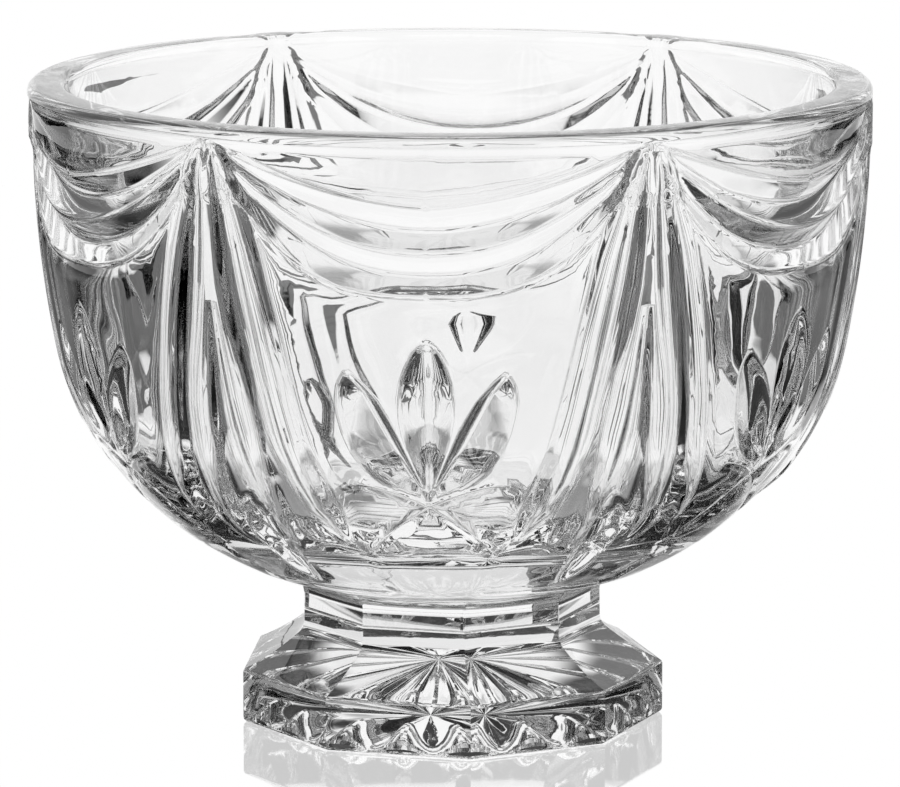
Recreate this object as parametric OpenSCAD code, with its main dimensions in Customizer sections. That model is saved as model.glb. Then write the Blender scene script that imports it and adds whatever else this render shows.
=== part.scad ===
// Footed trifle bowl in clear pressed crystal.
// A round bowl with a draped pattern in six panels stands on a short neck,
// glued flat to flat at the waist to a foot with nine sides.
// +Z is up, the origin is the middle of the foot's underside, and the middle
// of the front panel faces -Y.

/* [Bowl] */
// Outside diameter at the rim
rim_d = 216; // [200:1:240]
// Thickness of the wall at the rim
rim_wall = 10; // [7:0.5:12]
// Radius of the rounded edges of the rim
rim_round = 2.4; // [1:0.1:3]
// Height of the upright band under the rim
rim_band_h = 8.9; // [6:0.1:12]
// Profile radius of the gently curved upper wall
wall_arc_r = 316; // [280:2:360]
// Angle that the upper wall turns through
wall_arc_turn = 10.75; // [9:0.25:12]
// Profile radius of the belly
belly_arc_r = 74; // [68:1:80]
// Angle that the belly turns through
belly_arc_turn = 48; // [45:0.5:50]
// Profile radius of the underside
base_arc_r = 88; // [80:1:100]
// Thickness of glass under the middle of the hollow
floor_wall = 20; // [14:0.5:26]
// Profile radius of the hollow's lower corner
hollow_arc_r = 40; // [36:1:48]

/* [Pattern] */
// How far the ground of the pattern lies behind the rim band
ground_depth = 1.5; // [0.5:0.1:2]
// Depth of the two grooves that make the swags
swag_depth = 3.8; // [1:0.1:4]
// Rise of the inner pleat of each drape
inner_pleat_rise = 1.9; // [0.5:0.1:2.5]
// Rise of the outer pleat of each drape
outer_pleat_rise = 1.3; // [0.4:0.1:2]
// Depth of the flutes between the pleats
flute_depth = 1; // [0.3:0.1:1.5]
// Depth of the three palm leaves in a panel
palm_leaf_depth = 4.2; // [1:0.1:4.4]
// Depth of the leaf under each drape
low_leaf_depth = 3.6; // [1:0.1:3.8]

/* [Neck and foot] */
// Width across the corners of the foot
foot_d = 110.8; // [96:0.2:124]
// Width across the corners of the waist
waist_d = 78; // [70:0.2:82]
// Height of the glued joint at the waist
waist_z = 29.2; // [26:0.1:33]
// Width across the neck where it meets the bowl
neck_d = 88; // [84:0.5:96]
// Height where the neck meets the bowl
neck_top_z = 38.4; // [36:0.1:44]
// Height of the neck's upright sides above the joint
neck_side_h = 3.4; // [1:0.1:4]
// Height of the foot's upright sides below the joint
collar_h = 3; // [1:0.1:4]
// Height of the foot's upright side
foot_side_h = 14.3; // [11:0.1:16]
// Radius of the foot's top and bottom edges
foot_edge_r = 1.3; // [0.5:0.1:2]
// Turn of the foot's corners from the front panel
foot_turn = 8.6; // [-20:0.2:20]
// Thickness of the clear adhesive at the waist
bond_t = 0.2; // [0.1:0.05:0.3]

/* [Star under the foot] */
// Number of rays
star_rays = 18; // [12:1:30]
// Diameter across the tips of the rays
star_d = 96; // [80:0.5:98]
// Diameter where the star is deepest
star_deep_d = 72; // [60:1:78]
// Depth of the rays where they are deepest
star_depth = 6; // [2:0.1:7]
// Depth of the ridges between the rays, where the star is deepest
star_ridge_depth = 1; // [0.2:0.1:2]
// Depth of the star at its centre
star_centre_depth = 2; // [1:0.1:3]

/* [Hidden] */
$fn = 96;
// One overrun serves every cut
cut_over = 1;

// The bowl's outer profile, from the rim down.
// Three arcs follow each other without a corner. Depths are from the rim.
rim_r = rim_d / 2;
neck_r = neck_d / 2;
waist_r = waist_d / 2;
wall_centre_r = rim_r - wall_arc_r;
wall_end_depth = rim_band_h + wall_arc_r * sin(wall_arc_turn);
belly_centre_r = wall_centre_r + (wall_arc_r - belly_arc_r) * cos(wall_arc_turn);
belly_centre_depth = wall_end_depth - belly_arc_r * sin(wall_arc_turn);
base_start_turn = wall_arc_turn + belly_arc_turn;
belly_end_depth = belly_centre_depth + belly_arc_r * sin(base_start_turn);
base_centre_r = belly_centre_r + (belly_arc_r - base_arc_r) * cos(base_start_turn);
base_centre_depth = belly_end_depth - base_arc_r * sin(base_start_turn);
base_end_turn = acos((neck_r - base_centre_r) / base_arc_r);
bowl_depth = base_centre_depth + base_arc_r * sin(base_end_turn);
total_h = neck_top_z + bowl_depth;

// How far the wall has turned from upright at a depth
function wall_turn(depth) =
    depth <= rim_band_h ? 0
    : depth <= wall_end_depth ? asin((depth - rim_band_h) / wall_arc_r)
    : depth <= belly_end_depth ? asin((depth - belly_centre_depth) / belly_arc_r)
    : asin((depth - base_centre_depth) / base_arc_r);

// Radius of the plain wall at a depth
function wall_r(depth) =
    depth <= rim_band_h ? rim_r
    : depth <= wall_end_depth ? wall_centre_r + wall_arc_r * cos(wall_turn(depth))
    : depth <= belly_end_depth ? belly_centre_r + belly_arc_r * cos(wall_turn(depth))
    : base_centre_r + base_arc_r * cos(wall_turn(depth));

// The pattern is six panels, and each half panel mirrors the other.
// Its columns run down from the rim along the edges and ridges of the
// pleats and leaves, and its rows follow the swags and then run level.
panel_count = 6;
half_panel = 180 / panel_count;
half_columns = 9;
ring_columns = 2 * half_columns * panel_count;
uniform_shares = [for (k = [0 : half_columns]) k / half_columns];

// Each column's place across the half panel, from the panel's middle to the
// drape, at the listed shares of the bowl's depth. In order: the middle, the
// middle leaf's edge, the side leaf's fold and outer edge, the outer
// pleat's foot and ridge, the flute, the inner pleat's ridge and inner edge,
// and the middle of the drape.
column_depth_shares = [0.03, 0.08, 0.155, 0.23, 0.31, 0.385, 0.45, 0.54, 0.61, 0.69, 0.75, 0.81, 0.86, 0.94];
column_shares = [
    [0, 0.23, 0.47, 0.71, 0.945, 0.96, 0.97, 0.987, 0.995, 1],
    [0, 0.22, 0.45, 0.67, 0.895, 0.92, 0.945, 0.977, 0.993, 1],
    [0, 0.18, 0.40, 0.62, 0.835, 0.867, 0.897, 0.97, 0.992, 1],
    [0, 0.15, 0.38, 0.57, 0.775, 0.817, 0.853, 0.963, 0.99, 1],
    [0, 0.10, 0.37, 0.52, 0.737, 0.777, 0.82, 0.943, 0.987, 1],
    [0, 0.03, 0.36, 0.45, 0.697, 0.74, 0.787, 0.913, 0.98, 1],
    [0, 0.10, 0.365, 0.40, 0.67, 0.713, 0.767, 0.88, 0.967, 1],
    [0, 0.125, 0.267, 0.407, 0.627, 0.673, 0.727, 0.84, 0.942, 1],
    [0, 0.097, 0.177, 0.373, 0.593, 0.643, 0.697, 0.82, 0.92, 1],
    [0, 0.027, 0.06, 0.183, 0.533, 0.603, 0.653, 0.803, 0.893, 1],
    [0, 0.083, 0.167, 0.317, 0.49, 0.55, 0.593, 0.8, 0.91, 1],
    [0, 0.133, 0.267, 0.383, 0.467, 0.49, 0.513, 0.803, 0.897, 1],
    [0, 0.133, 0.267, 0.383, 0.483, 0.567, 0.65, 0.813, 0.89, 1],
    uniform_shares
];
outer_foot_column = 4;
outer_ridge_column = 5;
flute_column = 6;
inner_ridge_column = 7;
inner_edge_column = 8;
middle_flute_column = 9;
middle_leaf_column = 0;
side_leaf_column = 2;
low_leaf_column = 9;

// A row of the swags: its depth in the panel's middle as a share of the
// bowl's depth, how square its curve is, and its cut as a share of the
// swags' depth. The edges have none and the bottoms of the grooves all of it.
swag_row_shares = [
    [0.135, 1.6, 0],
    [0.18, 2.0, 1],
    [0.222, 2.1, 0],
    [0.269, 2.35, 1],
    [0.308, 3.0, 0]
];
drape_top_share = 0.031;
swag_gather_share = 0.007;
blend_rows = 3;
blend_end_share = 0.385;
level_row_shares = [0.385, 0.42, 0.45, 0.5, 0.54, 0.58, 0.635, 0.69, 0.735, 0.78, 0.83, 0.88, 0.93, 0.97, 1];
swag_rows = len(swag_row_shares);
level_rows = len(level_row_shares);
pattern_rows = swag_rows + blend_rows - 1 + level_rows;

// Start and end of each cut and pleat, as shares of the bowl's depth
middle_leaf_span_shares = [0.385, 0.7];
side_leaf_span_shares = [0.45, 0.7];
low_leaf_span_shares = [0.74, 0.96];
inner_pleat_span_shares = [0.031, 0.88];
outer_pleat_span_shares = [0.031, 0.83];
middle_flute_span_shares = [0.385, 0.88];
ground_span_shares = [0.02, 0.1, 0.9, 0.99];

function column_at(column, depth_share) =
    lookup(depth_share, [for (i = [0 : len(column_shares) - 1])
        [column_depth_shares[i], column_shares[i][column]]]);

function swag_depth_share(row, across) =
    let (edge = drape_top_share + swag_gather_share * row)
    edge + (swag_row_shares[row][0] - edge) * (1 - pow(across, swag_row_shares[row][1]));

// Depth share of a row at a place across the half panel
function row_depth_share(row, across) =
    row < swag_rows ? swag_depth_share(row, across)
    : row < swag_rows + blend_rows - 1
        ? let (
            last_swag = swag_depth_share(swag_rows - 1, across),
            blend = (row - swag_rows + 1) / blend_rows
          )
          last_swag + (blend_end_share - last_swag) * blend
    : level_row_shares[row - swag_rows - blend_rows + 1];

// A rise and fall between the two ends of a span. A lower power stays near
// its full height for longer.
pleat_power = 0.5;
leaf_power = 0.6;
function swell(share, span, power) =
    share <= span[0] || share >= span[1] ? 0
    : pow(sin(180 * (share - span[0]) / (span[1] - span[0])), power);

// The inner pleats have flat tops, which meet in the middle of the drape and
// part lower down, where a second flute lies between them
inner_edge_share = 0.8;
middle_flute_share = 2;
function pleat_rise(column, share) =
    let (inner = inner_pleat_rise * swell(share, inner_pleat_span_shares, pleat_power))
    column == outer_ridge_column ? outer_pleat_rise * swell(share, outer_pleat_span_shares, pleat_power)
    : column == flute_column ? -flute_depth * swell(share, outer_pleat_span_shares, pleat_power)
    : column == inner_ridge_column ? inner
    : column == inner_edge_column ? inner_edge_share * inner
    : column == middle_flute_column
        ? inner_edge_share * inner
            - middle_flute_share * flute_depth * swell(share, middle_flute_span_shares, pleat_power)
    : 0;

function leaf_cut(column, share) =
    column == middle_leaf_column ? palm_leaf_depth * swell(share, middle_leaf_span_shares, leaf_power)
    : column == side_leaf_column ? palm_leaf_depth * swell(share, side_leaf_span_shares, leaf_power)
    : column == low_leaf_column ? low_leaf_depth * swell(share, low_leaf_span_shares, leaf_power)
    : 0;

// The ground steps back under the rim band, and comes out again at the neck
ground_step_share = 0.3;
function ground_cut(share) =
    ground_depth * lookup(share, [
        [ground_span_shares[0], ground_step_share],
        [ground_span_shares[1], 1],
        [ground_span_shares[2], 1],
        [ground_span_shares[3], 0]
    ]);

// The swags are shallower where they are gathered at a drape, over the outer
// half of the half panel, and end at its outer pleat
swag_gather_share_left = 0.15;
function swag_cut(row, column, across) =
    row >= swag_rows || column >= outer_foot_column ? 0
    : swag_depth * swag_row_shares[row][2] * min(1, 2 * (1 - across) + swag_gather_share_left);

// How far the patterned wall stands out from the plain profile
function relief(row, column, across, share) =
    pleat_rise(column, share) - swag_cut(row, column, across)
    - leaf_cut(column, share) - ground_cut(share);

// Place across the half panel where a column crosses a row, found by
// going from the column to the row's depth and back a few times
settle_steps = 12;
function settle(row, column, across, steps) =
    steps == 0 ? across
    : settle(row, column, column_at(column, row_depth_share(row, across)), steps - 1);

function half_column(index) =
    let (k = index % (2 * half_columns)) k <= half_columns ? k : 2 * half_columns - k;

function azimuth(index, across) =
    let (
        panel = floor(index / (2 * half_columns)),
        k = index % (2 * half_columns)
    )
    2 * half_panel * panel + half_panel * (k <= half_columns ? across : 2 - across);

function ring_point(r, angle, z) = [r * sin(angle), -r * cos(angle), z];

function pattern_point(row, index) =
    let (
        column = half_column(index),
        start = column_at(column, drape_top_share),
        across = settle(row, column, start, settle_steps),
        share = row_depth_share(row, across),
        depth = share * bowl_depth,
        turn = wall_turn(depth),
        out = relief(row, column, across, share)
    )
    ring_point(
        wall_r(depth) + out * cos(turn),
        azimuth(index, across),
        total_h - depth - out * sin(turn)
    );

// The neck has nine flat sides, upright at the joint and then in a hollow
// curve. Its ring of points turns a little, so that nine are its corners.
foot_sides = 9;
side_angle = 360 / foot_sides;
columns_per_side = ring_columns / foot_sides;
column_angle = 360 / ring_columns;
neck_twist = foot_turn - column_angle * round(foot_turn / column_angle);
neck_rows = 3;

// Distance from the axis to a nine-sided outline at an angle
function nine_sided_r(corner_r, angle) =
    let (from_side = (angle - foot_turn) % side_angle)
    corner_r * cos(side_angle / 2)
        / cos((from_side < 0 ? from_side + side_angle : from_side) - side_angle / 2);

bowl_foot_z = waist_z + bond_t / 2;
neck_bend_z = bowl_foot_z + neck_side_h;
function neck_point(row, index) =
    let (
        sweep = 90 * (row - 1) / neck_rows,
        corner_r = row == 0 ? waist_r : waist_r + (neck_r - waist_r) * (1 - cos(sweep)),
        angle = index * column_angle + neck_twist
    )
    ring_point(
        nine_sided_r(corner_r, angle),
        angle,
        row == 0 ? bowl_foot_z : neck_bend_z + (neck_top_z - neck_bend_z) * sin(sweep)
    );

// The rim's two rounded edges and the smooth hollow are plain rings
round_rows = 3;
rim_profile = [
    for (i = [0 : round_rows])
        let (sweep = 90 * i / round_rows)
        [rim_r - rim_round * (1 - cos(sweep)), total_h - rim_round * (1 - sin(sweep))],
    for (i = [0 : round_rows])
        let (sweep = 90 * i / round_rows)
        [rim_r - rim_wall + rim_round * (1 - sin(sweep)), total_h - rim_round * (1 - cos(sweep))]
];
hollow_floor_z = neck_top_z + floor_wall;
hollow_top_r = rim_r - rim_wall;
hollow_wall_turn = wall_arc_turn;
hollow_centre_z = hollow_floor_z + hollow_arc_r;
hollow_wall_end_z = hollow_centre_z - hollow_arc_r * sin(hollow_wall_turn);
hollow_wall_h = total_h - rim_round - hollow_wall_end_z;
hollow_lean = hollow_wall_h * tan(hollow_wall_turn / 2);
hollow_centre_r = hollow_top_r - hollow_lean - hollow_arc_r * cos(hollow_wall_turn);
hollow_wall_rows = 3;
hollow_rows = 8;
hollow_profile = [
    for (i = [1 : hollow_wall_rows - 1])
        let (fall = i / hollow_wall_rows)
        [hollow_top_r - hollow_lean * fall * fall, total_h - rim_round - hollow_wall_h * fall],
    for (i = [0 : hollow_rows])
        let (turn = hollow_wall_turn + (90 - hollow_wall_turn) * i / hollow_rows)
        [hollow_centre_r + hollow_arc_r * cos(turn), hollow_centre_z - hollow_arc_r * sin(turn)]
];
plain_profile = concat(rim_profile, hollow_profile);

bowl_rings = [
    for (row = [0 : neck_rows + 1]) [for (i = [0 : ring_columns - 1]) neck_point(row, i)],
    for (row = [pattern_rows - 2 : -1 : 0]) [for (i = [0 : ring_columns - 1]) pattern_point(row, i)],
    for (p = plain_profile) [for (i = [0 : ring_columns - 1]) ring_point(p[0], i * column_angle, p[1])]
];

// Skin over a stack of rings, closed by a fan at each end
module ring_solid(rings, low_z, high_z) {
    count = len(rings[0]);
    last = len(rings) - 1;
    points = concat([for (ring = rings) each ring], [[0, 0, low_z], [0, 0, high_z]]);
    low = count * (last + 1);
    sides = [
        for (r = [0 : last - 1])
            for (i = [0 : count - 1])
                let (a = r * count + i, b = r * count + (i + 1) % count)
                each [[a, a + count, b + count], [a, b + count, b]]
    ];
    ends = [
        for (i = [0 : count - 1])
            let (next = (i + 1) % count)
            each [[i, next, low], [last * count + next, last * count + i, low + 1]]
    ];
    polyhedron(points, concat(sides, ends));
}

// The bowl, pressed in one piece with its neck
module bowl() {
    color("gainsboro")
        ring_solid(bowl_rings, bowl_foot_z, hollow_floor_z);
}

// The foot's side, in profile: an upright band with rounded edges, a long
// hollow slope, a tighter hollow curve and the upright collar at the waist.
// Widths are from the middle to a side, so they are less than to a corner.
side_share = cos(side_angle / 2);
foot_side_r = foot_d / 2 * side_share;
waist_side_r = waist_r * side_share;
foot_top_z = waist_z - bond_t / 2;
cove_r = 4.5;
cove_turn = 45;
slope_turn = 16;
top_edge_turn = 60;
edge_steps = 4;
cove_steps = 6;

// A point on the rounded edge above the side, and one on the cove
function top_edge_point(turn) =
    [foot_side_r - foot_edge_r * (1 - cos(turn)), foot_side_h - foot_edge_r * (1 - sin(turn))];
function cove_point(turn) =
    [waist_side_r + cove_r * (1 - cos(turn)), foot_top_z - collar_h - cove_r * sin(turn)];

// Points on an arc from a to b that turns by an angle and sags between
function arc_between(a, b, turn, steps) =
    let (
        chord = norm(b - a),
        r = chord / 2 / sin(turn / 2),
        along = (b - a) / chord,
        across = [along[1], -along[0]]
    )
    [for (i = [1 : steps - 1])
        let (t = turn * (i / steps - 0.5))
        (a + b) / 2 + along * r * sin(t) + across * r * (cos(t) - cos(turn / 2))];

foot_outline = concat(
    [[foot_side_r - foot_edge_r, 0]],
    [for (i = [1 : edge_steps])
        let (t = 90 * i / edge_steps)
        [foot_side_r - foot_edge_r * (1 - sin(t)), foot_edge_r * (1 - cos(t))]],
    [for (i = [0 : edge_steps]) top_edge_point(top_edge_turn * i / edge_steps)],
    arc_between(top_edge_point(top_edge_turn), cove_point(cove_turn), -slope_turn, cove_steps),
    [for (i = [0 : cove_steps]) cove_point(cove_turn * (1 - i / cove_steps))],
    [[waist_side_r, foot_top_z]]
);

// The star is a fan of valleys with soft ridges between them. It deepens from
// its centre to a ring, and bends round from there to its edge. The cut is
// taken a little below the foot, and leaves a flat ring to stand on.
flat_ring_w = 1.5;
half_ray_steps = 4;
inner_ring_count = 4;
outer_ring_count = 4;

// A ring of the star's points, with its ridges and its valleys at two heights
function star_ring(r, ridge_z, valley_z) =
    let (corners = 2 * half_ray_steps * star_rays)
    [for (i = [0 : corners - 1])
        let (
            angle = 360 * i / corners,
            valley_share = (1 + cos(star_rays * angle)) / 2
        )
        [r * sin(angle), -r * cos(angle), ridge_z + (valley_z - ridge_z) * valley_share]];

module star_cut() {
    edge_r = min(star_d / 2, foot_side_r - foot_edge_r - flat_ring_w);
    deep_r = star_deep_d / 2;
    inner = [
        for (i = [1 : inner_ring_count])
            let (share = i / inner_ring_count)
            star_ring(deep_r * share,
                star_centre_depth + (star_ridge_depth - star_centre_depth) * share,
                star_centre_depth + (star_depth - star_centre_depth) * share)
    ];
    outer = [
        for (i = [1 : outer_ring_count])
            let (turn = 90 * i / outer_ring_count)
            star_ring(deep_r + (edge_r - deep_r) * sin(turn),
                star_ridge_depth * cos(turn), star_depth * cos(turn))
    ];
    rings = concat(inner, outer);
    under = star_ring(edge_r, -cut_over, -cut_over);
    ring_solid([under, for (i = [len(rings) - 1 : -1 : 0]) rings[i]], -cut_over, star_centre_depth);
}

// The pressed foot, nine sided, with a star cut into its underside
module foot() {
    reach = foot_d;
    color("lightgray")
        difference() {
            intersection_for (k = [0 : foot_sides - 1])
                rotate(foot_turn - 90 + side_angle * (k + 0.5))
                    rotate([90, 0, 0])
                        linear_extrude(2 * reach, center = true)
                            polygon(concat([[-reach, 0]], foot_outline, [[-reach, foot_top_z]]));
            rotate(foot_turn)
                star_cut();
        }
}

// The clear adhesive film between neck and foot
module adhesive_bond() {
    color("white")
        translate([0, 0, foot_top_z])
            rotate(foot_turn - 90)
                linear_extrude(bond_t)
                    circle(r = waist_r, $fn = foot_sides);
}

bowl();
foot();
adhesive_bond();
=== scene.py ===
"""Footed trifle bowl in clear pressed crystal, standing on a glossy white table."""
import math

import bmesh
import bpy
import numpy as np
from mathutils.geometry import delaunay_2d_cdt
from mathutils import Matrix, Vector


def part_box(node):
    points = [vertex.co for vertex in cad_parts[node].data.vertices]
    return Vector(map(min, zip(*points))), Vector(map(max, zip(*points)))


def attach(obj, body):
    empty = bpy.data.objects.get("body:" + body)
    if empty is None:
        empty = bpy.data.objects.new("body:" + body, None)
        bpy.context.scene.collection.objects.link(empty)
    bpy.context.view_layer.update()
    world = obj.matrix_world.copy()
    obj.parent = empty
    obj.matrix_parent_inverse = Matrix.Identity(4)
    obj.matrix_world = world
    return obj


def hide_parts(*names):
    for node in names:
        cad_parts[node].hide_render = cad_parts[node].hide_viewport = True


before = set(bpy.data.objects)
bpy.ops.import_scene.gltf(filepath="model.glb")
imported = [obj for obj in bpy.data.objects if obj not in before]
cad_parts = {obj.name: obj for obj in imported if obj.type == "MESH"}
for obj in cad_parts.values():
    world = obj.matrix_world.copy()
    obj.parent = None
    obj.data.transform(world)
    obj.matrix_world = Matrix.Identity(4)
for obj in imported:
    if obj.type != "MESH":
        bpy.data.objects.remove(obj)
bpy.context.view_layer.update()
scene = bpy.context.scene
scene.view_settings.view_transform = "Standard"

# Camera
# A long lens a metre and a half away, a little above the rim.
# It stands 3.2 degrees to the right of the front panel's middle.
camera_side = math.radians(3.2)
camera_away = 1.4458
camera_up = 0.3571
camera_down_tilt = math.radians(10.715)

lens = bpy.data.cameras.new("camera")
lens.sensor_width = 36.0
lens.lens = 227.7
lens.clip_end = 50.0
camera = bpy.data.objects.new("camera", lens)
camera.location = (
    camera_away * math.sin(camera_side), -camera_away * math.cos(camera_side), camera_up)
camera.rotation_euler = (math.pi / 2 - camera_down_tilt, 0.0, camera_side)
scene.collection.objects.link(camera)
scene.camera = camera


# Table and studio
# A glossy white acrylic table in a studio. Behind the bowl hangs a wide lit
# white sheet, and dark cards beside it draw the glass's edges. A box light
# and dim walls stand before the bowl.
def linear(hex_colour):
    """Linear RGBA of an sRGB hex colour."""
    channels = [int(hex_colour[i:i + 2], 16) / 255 for i in (1, 3, 5)]
    return [c / 12.92 if c <= 0.04045 else ((c + 0.055) / 1.055) ** 2.4 for c in channels] + [1.0]


def add(tree, kind, settings=None, **inputs):
    """A new node with its settings, and its inputs set to values or linked to sockets.

    An input goes by its name, with _ for a space, or by its number, as i0.
    """
    made = tree.nodes.new(kind)
    for key, value in (settings or {}).items():
        setattr(made, key, value)
    for key, value in inputs.items():
        numbered = key[0] == "i" and key[1:].isdigit()
        socket = made.inputs[int(key[1:]) if numbered else key.replace("_", " ")]
        if isinstance(value, bpy.types.NodeSocket):
            tree.links.new(value, socket)
        else:
            socket.default_value = value
    return made


def bare_material(name):
    """A new material with an empty node tree."""
    made = bpy.data.materials.new(name)
    made.use_nodes = True
    made.node_tree.nodes.clear()
    return made


smooth = {"interpolation_type": "SMOOTHSTEP"}
times = {"operation": "MULTIPLY"}
larger = {"operation": "MAXIMUM"}
less = {"operation": "LESS_THAN"}
greater = {"operation": "GREATER_THAN"}

# Each direction has length 1, and each light fades between the two numbers of
# a pair: a part of that length to the side, away from the camera or up
sheet_sides = (0.30, 0.38)
sheet_top = (0.80, 0.92)
sheet_front = (0.15, 0.25)
ceiling_edge = (0.86, 0.94)
ceiling_level = 0.3
softbox_middle = (0.0, -0.75, 0.66)
softbox_edge = (0.22, 0.32)
floor_glow_top = (0.22, 0.32)
floor_glow_level = 0.02
wall_back = (-0.25, -0.10)
wall_top = (0.45, 0.60)
wall_beside_camera = (0.35, 0.55)
wall_levels = (0.15, 0.6)

world = bpy.data.worlds.new("studio")
world.use_nodes = True
studio = world.node_tree
studio.nodes.clear()
toward = add(studio, "ShaderNodeTexCoord").outputs["Generated"]
split = add(studio, "ShaderNodeSeparateXYZ", Vector=toward)
depth, up = split.outputs["Y"], split.outputs["Z"]
side = add(studio, "ShaderNodeMath", {"operation": "ABSOLUTE"}, i0=split.outputs["X"]).outputs[0]

within_sides = add(studio, "ShaderNodeMapRange", smooth, Value=side, From_Min=sheet_sides[0],
                   From_Max=sheet_sides[1], To_Min=1.0, To_Max=0.0).outputs[0]
below_top = add(studio, "ShaderNodeMapRange", smooth, Value=up, From_Min=sheet_top[0],
                From_Max=sheet_top[1], To_Min=1.0, To_Max=0.0).outputs[0]
behind = add(studio, "ShaderNodeMapRange", Value=depth, From_Min=sheet_front[0],
             From_Max=sheet_front[1], To_Min=0.0, To_Max=1.0).outputs[0]
sheet = add(studio, "ShaderNodeMath", times, i0=within_sides, i1=behind).outputs[0]
sheet = add(studio, "ShaderNodeMath", times, i0=sheet, i1=below_top).outputs[0]

ceiling = add(studio, "ShaderNodeMapRange", smooth, Value=up, From_Min=ceiling_edge[0],
              From_Max=ceiling_edge[1], To_Min=0.0, To_Max=ceiling_level).outputs[0]
from_softbox = add(studio, "ShaderNodeVectorMath", {"operation": "DISTANCE"},
                   i0=toward, i1=softbox_middle).outputs["Value"]
softbox = add(studio, "ShaderNodeMapRange", smooth, Value=from_softbox, From_Min=softbox_edge[0],
              From_Max=softbox_edge[1], To_Min=1.0, To_Max=0.0).outputs[0]
floor_glow = add(studio, "ShaderNodeMapRange", smooth, Value=up, From_Min=floor_glow_top[0],
                 From_Max=floor_glow_top[1], To_Min=floor_glow_level, To_Max=0.0).outputs[0]
walls = add(studio, "ShaderNodeMapRange", smooth, Value=depth, From_Min=wall_back[0],
            From_Max=wall_back[1], To_Min=1.0, To_Max=0.0).outputs[0]
for start, levels, value in ((wall_beside_camera, wall_levels, side), (wall_top, (1.0, 0.0), up)):
    level = add(studio, "ShaderNodeMapRange", smooth, Value=value, From_Min=start[0],
                From_Max=start[1], To_Min=levels[0], To_Max=levels[1]).outputs[0]
    walls = add(studio, "ShaderNodeMath", times, i0=walls, i1=level).outputs[0]
room = sheet
for lamp in (ceiling, softbox, floor_glow, walls):
    room = add(studio, "ShaderNodeMath", larger, i0=room, i1=lamp).outputs[0]

# The background is white to the eye and to its first reflection in the
# table, but not high up nor towards the camera's own side, where that would
# wash out the glass
mirror_top = 0.8
mirror_back = -0.2
mirror_beside_camera = 0.45
second_bounce = 2.5
light = add(studio, "ShaderNodeLightPath").outputs
first = add(studio, "ShaderNodeMath", less, i0=light["Ray Depth"], i1=second_bounce).outputs[0]
low = add(studio, "ShaderNodeMath", less, i0=up, i1=mirror_top).outputs[0]
at_back = add(studio, "ShaderNodeMath", greater, i0=depth, i1=mirror_back).outputs[0]
at_side = add(studio, "ShaderNodeMath", greater, i0=side, i1=mirror_beside_camera).outputs[0]
away = add(studio, "ShaderNodeMath", larger, i0=at_back, i1=at_side).outputs[0]
mirrored = light["Is Glossy Ray"]
for limit in (first, low, away):
    mirrored = add(studio, "ShaderNodeMath", times, i0=mirrored, i1=limit).outputs[0]
seen = add(studio, "ShaderNodeMath", larger, i0=light["Is Camera Ray"], i1=mirrored).outputs[0]
strength = add(studio, "ShaderNodeMath", larger, i0=room, i1=seen).outputs[0]
sky = add(studio, "ShaderNodeBackground", Color=linear("#FFFFFF"), Strength=strength)
add(studio, "ShaderNodeOutputWorld", Surface=sky.outputs[0])
scene.world = world

table_half = 0.9
table_mesh = bpy.data.meshes.new("table")
table_mesh.from_pydata(
    [(x * table_half, y * table_half, 0) for x, y in ((-1, -1), (1, -1), (1, 1), (-1, 1))],
    [], [(0, 1, 2, 3)])
table = bpy.data.objects.new("table", table_mesh)
scene.collection.objects.link(table)

# Cast white acrylic, polished, is lit unevenly in such a studio, and that
# light and shade are painted into the table's glow, which only rays through
# or off the glass see. Through the glass it shows painted light in a strip
# that reaches back under the sheet, in the front corners and in a patch
# behind the foot, painted shadow grey under the bowl, and painted shade
# black to both sides, darker towards the front and in a ring under the foot.
# Places are in metres from the middle of the table.
strip_edge = (0.20, 0.24)
wing_edge = (0.38, 0.46)
wing_level = 0.18
wing_back = (0.16, 0.32)
wing_near_share = 0.03
front_fade = (-0.30, 0.04)
bowl_shadow = (0.115, 0.165)
bowl_shadow_level = 0.40
card_shadow_x = 0.13
card_shadow = (0.05, 0.08)
card_shadow_level = 0.05
patch_middle = (0, 0.10, 0)
patch_edge = (0.045, 0.07)
patch_level = 0.85
corner_sides = (0.25, 0.33)
corner_back = (-0.30, -0.18)
corner_level = 0.7
under_foot_edge = (0.020, 0.030)
under_foot_levels = (0.95, 0.04)
foot_edge_r = (0.052, 0.058)

acrylic = bare_material("white_acrylic_table")
nodes = acrylic.node_tree
spot = add(nodes, "ShaderNodeTexCoord").outputs["Object"]
off_middle = add(nodes, "ShaderNodeVectorMath", {"operation": "ABSOLUTE"}, i0=spot).outputs[0]
across = add(nodes, "ShaderNodeSeparateXYZ", Vector=off_middle).outputs["X"]
along = add(nodes, "ShaderNodeSeparateXYZ", Vector=spot).outputs["Y"]
strip = add(nodes, "ShaderNodeMapRange", smooth, Value=across, From_Min=strip_edge[0],
            From_Max=strip_edge[1], To_Min=1.0, To_Max=0.0).outputs[0]
wings = add(nodes, "ShaderNodeMapRange", smooth, Value=across, From_Min=wing_edge[0],
            From_Max=wing_edge[1], To_Min=wing_level, To_Max=0.0).outputs[0]
far = add(nodes, "ShaderNodeMapRange", smooth, Value=along, From_Min=wing_back[0],
          From_Max=wing_back[1], To_Min=wing_near_share, To_Max=1.0).outputs[0]
wings = add(nodes, "ShaderNodeMath", times, i0=wings, i1=far).outputs[0]
lit_table = add(nodes, "ShaderNodeMath", larger, i0=strip, i1=wings).outputs[0]
front = add(nodes, "ShaderNodeMapRange", smooth, Value=along, From_Min=front_fade[0],
            From_Max=front_fade[1], To_Min=0.0, To_Max=1.0).outputs[0]
shade = add(nodes, "ShaderNodeMath", times, i0=lit_table, i1=front).outputs[0]
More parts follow.
